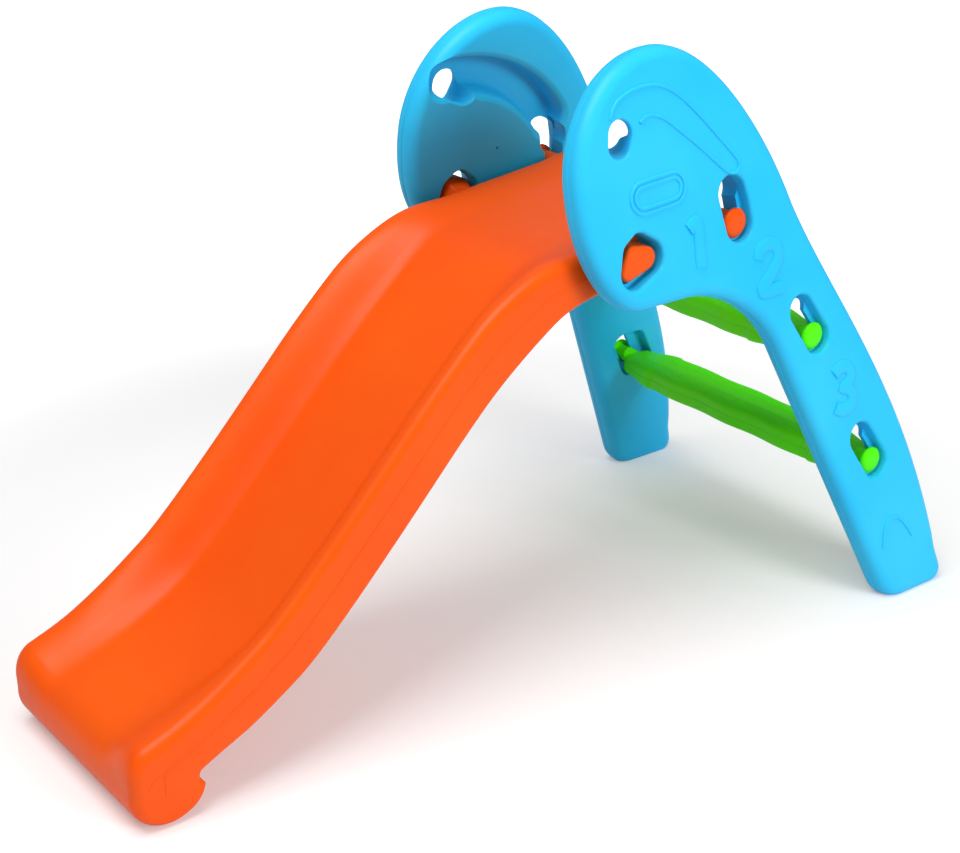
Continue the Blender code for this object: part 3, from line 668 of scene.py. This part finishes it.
def chute_ring(top, lower, out, rise, flat, half_width, hollow):
    """Closed ring through a place on the bed and a place under it; rails rise along out."""
    height = (top - lower).length
    up = (top - lower).normalized()
    edge = LOWER_ROUND * min(1.0, height / FULL_EDGE_DEPTH)
    half = across(rise, height, min(CREST_ROUND, 0.3 * height), edge, flat, half_width, hollow)
    ring = []
    for y, h in half + [(-y, h) for y, h in reversed(half[1:-1])]:
        place = top + (out if h > 0 else up) * h
        ring.append(Vector((place.x - CENTRE_X, y, place.y)))
    return ring


def notch(share):
    """A place along the fillet between the roll and the underside."""
    a = math.radians(mix(225.0, 130.0, share))
    return Vector((NOTCH_X + NOTCH_RADIUS * math.cos(a), NOTCH_Z + NOTCH_RADIUS * math.sin(a)))


def roll_rings():
    """Rings round the roll, from the fillet behind it, under and round the front, to the bed."""
    rings = []
    for turn in [FIRST_TURN - 6.0 * i for i in range(40)] + [-246.0, LAST_TURN]:
        out = Vector((math.cos(math.radians(turn)), math.sin(math.radians(turn))))
        radius = mix(ROLL, ROLL / math.cos(math.radians(9)), smooth((-turn - 190.0) / 40.0))
        rise = ROLL_RAIL * smooth((-turn - 185.0) / 65.0)
        share = (FIRST_TURN - turn) / (FIRST_TURN - LAST_TURN)
        rings.append(chute_ring(Vector((0, ROLL)) + out * radius, notch(share), out, rise,
                                ROLL_FLAT, DECK_HALF_WIDTH, 0.0))
    return rings


def bed_rings():
    """Rings along the bed, from the roll to the rear lip."""
    bed = [Vector(place) for place in bed_line()]
    squares, lowers = [], []
    for i, place in enumerate(bed):
        along = (bed[min(len(bed) - 1, i + 1)] - bed[max(0, i - 1)]).normalized()
        squares.append(Vector((-along.y, along.x)))
        depth = mix(FOOT_DEPTH, RUN_DEPTH, smooth((place.x - 0.050) / 0.090))
        depth = mix(depth, DECK_DEPTH, smooth((place.x - 0.380) / 0.140))
        lowers.append(place - squares[-1] * depth)
    early = sum(place.x < 0.075 for place in bed)
    rings = []
    for i, place in enumerate(bed):
        run = smooth(place.x / 0.150)
        rise = mix(mix(ROLL_RAIL, RUN_RAIL, run), DECK_RAIL, smooth((place.x - 0.415) / 0.145))
        lower = notch(1.0).lerp(lowers[early], (i + 1) / (early + 1)) if i < early else lowers[i]
        half_width = DECK_HALF_WIDTH - DECK_TAPER * min(1.0, max(0.0, (place.x - 0.540) / 0.160))
        hollow = HOLLOW * smooth((place.x - 0.060) / 0.080)
        rings.append(chute_ring(place, lower, squares[i], rise, mix(ROLL_FLAT, RUN_FLAT, run),
                                half_width, hollow))
    return rings


def drawn_in(ring, share, shift):
    """A ring drawn towards its middle and moved along X, to soften an end."""
    middle = sum(ring, Vector()) / len(ring)
    return [Vector((p.x + shift, p.y * (1 - share * 0.25),
                    middle.z + (p.z - middle.z) * (1 - share))) for p in ring]


def panel_y(x, z, depth):
    """World Y of the panel's plane at a depth, where the line along Y at x, z meets it."""
    u, v = on_panel(x, z, depth)
    return (panel_frame(1) @ Vector((u, depth, v))).y


def knob_profile(x, z, knob, neck, start):
    """Y and radius of a neck and rounded knob, from start to just inside the panel's outer face."""
    face, end_round = panel_y(x, z, KNOB_FACE), 0.006
    shoulder = panel_y(x, z, WALL_TO_WALL - POCKET_DEPTH) + knob * math.tan(LEAN) + 0.0006
    profile = [(start, neck), (shoulder - 0.0005, neck), (shoulder, knob - 0.0022),
               (shoulder + 0.0008, knob - 0.0007), (shoulder + 0.0024, knob)]
    for i in range(8):
        a = math.pi / 2 * i / 7
        profile.append((face - end_round + end_round * math.sin(a),
                        knob - 0.0075 * (1 - math.cos(a)) - 0.0004 * i / 7))
    return profile + [(face + 0.0002, knob * 0.30)]


def turned_rod(profile, x, z, side):
    """Round body along Y through places of y and radius."""
    spokes = [2 * math.pi * (i + 0.5) / 48 for i in range(48)]
    return stack([[Vector((x - CENTRE_X + r * math.cos(a), side * y, z + r * math.sin(a)))
                   for a in spokes] for y, r in profile])


def front_peg(side):
    """Peg that swells from the deck's side to a rounded triangle."""
    face, end_round = panel_y(*PEG, KNOB_FACE), 0.0045
    # Y, inset of the outline and drop of its middle
    stations = [(DECK_HALF_WIDTH - 0.012, 0.007, 0.004), (DECK_HALF_WIDTH, 0.007, 0.004),
                (DECK_HALF_WIDTH + 0.007, 0.0032, 0.0018), (DECK_HALF_WIDTH + 0.014, 0.0, 0.0)]
    for i in range(7):
        a = math.pi / 2 * i / 6
        stations.append((face - end_round * (1 - math.sin(a)), end_round * (1 - math.cos(a)), 0.0))
    rings = []
    for y, shrink, fall in stations:
        outline = hull(peg_circles((PEG[0] - CENTRE_X, PEG[1] - fall)), -shrink)
        rings.append([Vector((u, side * y, v)) for u, v in outline])
    return stack(rings)


orange = moulded_polyethylene("orange_moulded_polyethylene", "FF5600", "FF6000",
                              roughness=0.38, wear_way=(5.0, 170.0, 5.0))

chute_rings = roll_rings() + bed_rings()
chute_rings += [drawn_in(chute_rings[-1], share, END_ROUND * reach)
                for share, reach in ((0.04, 0.40), (0.12, 0.75), (0.30, 1.0))]
chute = body_from(stack(chute_rings), "chute_loft")
tools = []
for side, word in ((1, "right"), (-1, "left")):
    profile = knob_profile(*REAR_KNOB, CHUTE_KNOB, CHUTE_NECK, DECK_HALF_WIDTH - 0.030)
    tools.append(carve(chute, turned_rod(profile, *REAR_KNOB, side), "knob_" + word,
                       "UNION", "MANIFOLD"))
    tools.append(carve(chute, front_peg(side), "peg_" + word, "UNION", "MANIFOLD"))
chute = finished(chute, tools, "chute_moulding", orange)
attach(chute, "chute")
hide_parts("chute")

# Parting line along both side walls, a short arc on each end of the roll, and across each peg's end
chute_lines = []
for side in (1, -1):
    chute_lines.append(([ring[side * SEAM_POINT] for ring in chute_rings[26:-5]], False))
    arc = [Vector((ROLL_ARC * math.cos(math.radians(a)) - CENTRE_X, side * DECK_HALF_WIDTH,
                   ROLL + ROLL_ARC * math.sin(math.radians(a)))) for a in range(35, 156, 8)]
    chute_lines.append((arc, False))
    face = panel_y(*PEG, KNOB_FACE)
    over_peg = [Vector((PEG[0] - CENTRE_X + dx, side * (face - drop), PEG[1] + 0.004 + dx * 0.25))
                for dx, drop in PEG_LINE]
    chute_lines.append((over_peg, False))
chute_seams = beads("chute_parting_lines", chute_lines, CHUTE_SEAM_RADIUS, CHUTE_SEAM_SPACING,
                    orange)
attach(chute_seams, "chute")

# Steps
# Two blow-moulded treads in lime-green polyethylene, the lower one longer because the panels lean
# apart. Each has a scalloped plan, ribs moulded lengthwise in its top for grip, and a neck and a
# round knob on each end that drop into the panels' keyholes.

TREAD_DEPTH, TREAD_END_DEPTH = 0.035, 0.025      # half of each size, in the middle and at the ends
TREAD_HEIGHT, TREAD_END_HEIGHT = 0.018, 0.014
ROUND, END_SQUARENESS, SQUARENESS = 2.0, 3.6, 4.5  # powers of the rounded sections
END_FILLET = 0.0050
FLARE = 0.055                      # length over which a tread widens from each end
SCALLOP = 0.003
RIB_DEPTH, RIBS = 0.0022, 3.0
STEP_KNOB, STEP_NECK = 0.0168, 0.0105
PLAIN_STATIONS = 16                # from each end: the knob, its neck and the start of the fillet
TREAD_SEAM_RADIUS, TREAD_SEAM_SPACING = 0.0005, 0.005


def tread_ring(x, z, y, half_depth, half_height, power, rib_depth):
    """One section across a step, with ribs in its top."""
    ring = []
    count = 144
    for i in range(count):
        a = 2 * math.pi * (i + 0.5) / count
        c, s = math.cos(a), math.sin(a)
        share = math.copysign(abs(c) ** (2 / power), c)
        dz = half_height * math.copysign(abs(s) ** (2 / power), s)
        if s > 0:
            fade = smooth((0.80 - abs(share)) / 0.12)
            dz -= rib_depth * fade * (0.5 - 0.5 * math.cos(2 * math.pi * share * RIBS))
        ring.append(Vector((x - CENTRE_X + half_depth * share, y, z + dz)))
    return ring


def step_stations(x, z):
    """(y, x, z, half depth, half height, power, rib depth) from one end to the other."""
    end = panel_y(x, z - TREAD_DROP, 0) + 0.004
    tread_x, tread_z = x + TREAD_BACK, z - TREAD_DROP
    knob = knob_profile(x, z, STEP_KNOB, STEP_NECK, end + 0.003)
    half = [(y, x, z, r, r, ROUND, 0.0) for y, r in reversed(knob)]
    for back, share, power in ((0.0004, 0.66, 2.4), (0.0012, 0.86, 2.8), (0.0028, 0.97, 3.2),
                               (END_FILLET, 1.0, END_SQUARENESS)):
        half.append((end - back, x + TREAD_BACK * share, z - TREAD_DROP * share,
                     TREAD_END_DEPTH * share, TREAD_END_HEIGHT * share, power, 0.0))
    for i in range(1, 13):
        t = i / 12
        half.append((end - END_FILLET - FLARE * t, tread_x, tread_z,
                     mix(TREAD_END_DEPTH, TREAD_DEPTH, smooth(t)),
                     mix(TREAD_END_HEIGHT, TREAD_HEIGHT, smooth(t)),
                     mix(END_SQUARENESS, SQUARENESS, t), RIB_DEPTH * smooth((t - 0.25) / 0.6)))
    reach = half[-1][0]
    middle = []
    for i in range(1, 60):
        share = i / 60
        wave = SCALLOP * (math.cos(3 * math.pi * (share - 0.5)) ** 2 - 1)
        middle.append((reach * (1 - 2 * share), tread_x, tread_z, TREAD_DEPTH + wave,
                       TREAD_HEIGHT, SQUARENESS, RIB_DEPTH))
    return half + middle + [(-row[0], *row[1:]) for row in reversed(half)]


lime = moulded_polyethylene("lime_green_moulded_polyethylene", "50FA00", "62FF00",
                            roughness=0.40, wear_way=(160.0, 6.0, 60.0))

for label, (step_x, step_z) in STEP_KNOBS.items():
    stations = step_stations(step_x, step_z)
    rings = [tread_ring(sx, sz, y, *section) for y, sx, sz, *section in stations]
    tread = finished(body_from(stack(rings), label + "_step_loft"), [], label + "_step_moulding",
                     lime, 50)
    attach(tread, label + "_step")
    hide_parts(label + "_step")

    # Parting line along the front and the back of the tread
    tread_lines = []
    for sign in (-1, 1):
        line = [Vector((sx - CENTRE_X + sign * half_depth, y, sz))
                for y, sx, sz, half_depth, *_ in stations[PLAIN_STATIONS:-PLAIN_STATIONS]]
        tread_lines.append((line, False))
    tread_seam = beads(label + "_step_parting_line", tread_lines, TREAD_SEAM_RADIUS,
                       TREAD_SEAM_SPACING, lime)
    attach(tread_seam, label + "_step")

# Studio
# A plain white paper floor and backdrop, one softbox overhead and one in front, as a product is
# photographed; they aren't part of the slide.

FLOOR_REACH = 9
FLOOR_DROP = 0.0004                # keeps the paper clear of the feet
GLOW_NEAR, GLOW_FAR = 0.75, 1.7    # distances between which the paper goes over to plain white
NEAR_GLOW, AMBIENT = 0.26, 0.26
WHITE = (1.0, 1.0, 1.0, 1.0)
AIM = (0.0, 0.0, 0.35)
CAMERA_FROM_ROLL = (-0.6797, -1.5399, 1.1200)
CAMERA_DOWN, CAMERA_TURN = 23.864, 37.518
LENS = 68.0
# Name, place, side in metres, watts, and whether it is mirrored in the plastic
LAMPS = (("overhead_softbox", (-1.0, -0.2, 3.0), 1.9, 66.0, True),
         ("front_softbox", (0.7, -3.1, 1.5), 1.5, 56.0, False))

floor_mesh = bpy.data.meshes.new("studio_floor")
floor_mesh.from_pydata([(x * FLOOR_REACH, y * FLOOR_REACH, -FLOOR_DROP)
                        for x, y in ((-1, -1), (1, -1), (1, 1), (-1, 1))], [], [(0, 1, 2, 3)])
floor = bpy.data.objects.new("studio_floor", floor_mesh)
bpy.context.collection.objects.link(floor)

# White paper: matt, and for the camera only it goes over to plain white away from the slide
paper = bpy.data.materials.new("white_paper_floor")
paper.use_nodes = True
tree = paper.node_tree
tree.nodes.clear()
rays = add_node(tree, "ShaderNodeLightPath")
matt = add_node(tree, "ShaderNodeBsdfDiffuse", {"Color": (0.82, 0.82, 0.82, 1.0)})
ground = add_node(tree, "ShaderNodeTexCoord").outputs["Object"]
far = add_node(tree, "ShaderNodeVectorMath", {0: ground}, operation="LENGTH")
sweep = add_node(tree, "ShaderNodeMapRange",
                 {0: far.outputs["Value"], 1: GLOW_NEAR, 2: GLOW_FAR, 3: NEAR_GLOW, 4: 1.0},
                 interpolation_type="SMOOTHSTEP")
glow = add_node(tree, "ShaderNodeEmission", {"Color": WHITE, "Strength": sweep.outputs[0]})
no_glow = add_node(tree, "ShaderNodeEmission", {"Strength": 0.0})
lift = add_node(tree, "ShaderNodeMixShader",
                {0: rays.outputs["Is Camera Ray"], 1: no_glow.outputs[0], 2: glow.outputs[0]})
both = add_node(tree, "ShaderNodeAddShader", {0: matt.outputs[0], 1: lift.outputs[0]})
add_node(tree, "ShaderNodeOutputMaterial", {"Surface": both.outputs[0]})
floor_mesh.materials.append(paper)

world = bpy.data.worlds.new("white_studio")
world.use_nodes = True
tree = world.node_tree
tree.nodes.clear()
rays = add_node(tree, "ShaderNodeLightPath")
seen = add_node(tree, "ShaderNodeMath",
                {0: rays.outputs["Is Camera Ray"], 1: rays.outputs["Is Transmission Ray"]},
                operation="MAXIMUM")
ambient = add_node(tree, "ShaderNodeBackground", {"Color": WHITE, "Strength": AMBIENT})
white = add_node(tree, "ShaderNodeBackground", {"Color": WHITE, "Strength": 1.0})
shown = add_node(tree, "ShaderNodeMixShader",
                 {0: seen.outputs[0], 1: ambient.outputs[0], 2: white.outputs[0]})
add_node(tree, "ShaderNodeOutputWorld", {"Surface": shown.outputs[0]})
bpy.context.scene.world = world

for name, place, size, power, mirrored in LAMPS:
    lamp = bpy.data.lights.new(name, "AREA")
    lamp.shape = "SQUARE"
    lamp.size = size
    lamp.energy = power
    holder = bpy.data.objects.new(name, lamp)
    bpy.context.collection.objects.link(holder)
    holder.location = place
    holder.visible_glossy = mirrored
    holder.rotation_euler = (Vector(AIM) - Vector(place)).to_track_quat("-Z", "Y").to_euler()

camera = bpy.data.objects.new("camera", bpy.data.cameras.new("camera"))
bpy.context.collection.objects.link(camera)
camera.location = (CAMERA_FROM_ROLL[0] - CENTRE_X, *CAMERA_FROM_ROLL[1:])
camera.rotation_euler = (math.radians(90 - CAMERA_DOWN), 0, math.radians(-CAMERA_TURN))
camera.data.lens = LENS
bpy.context.scene.camera = camera
bpy.context.scene.view_settings.view_transform = "Standard"
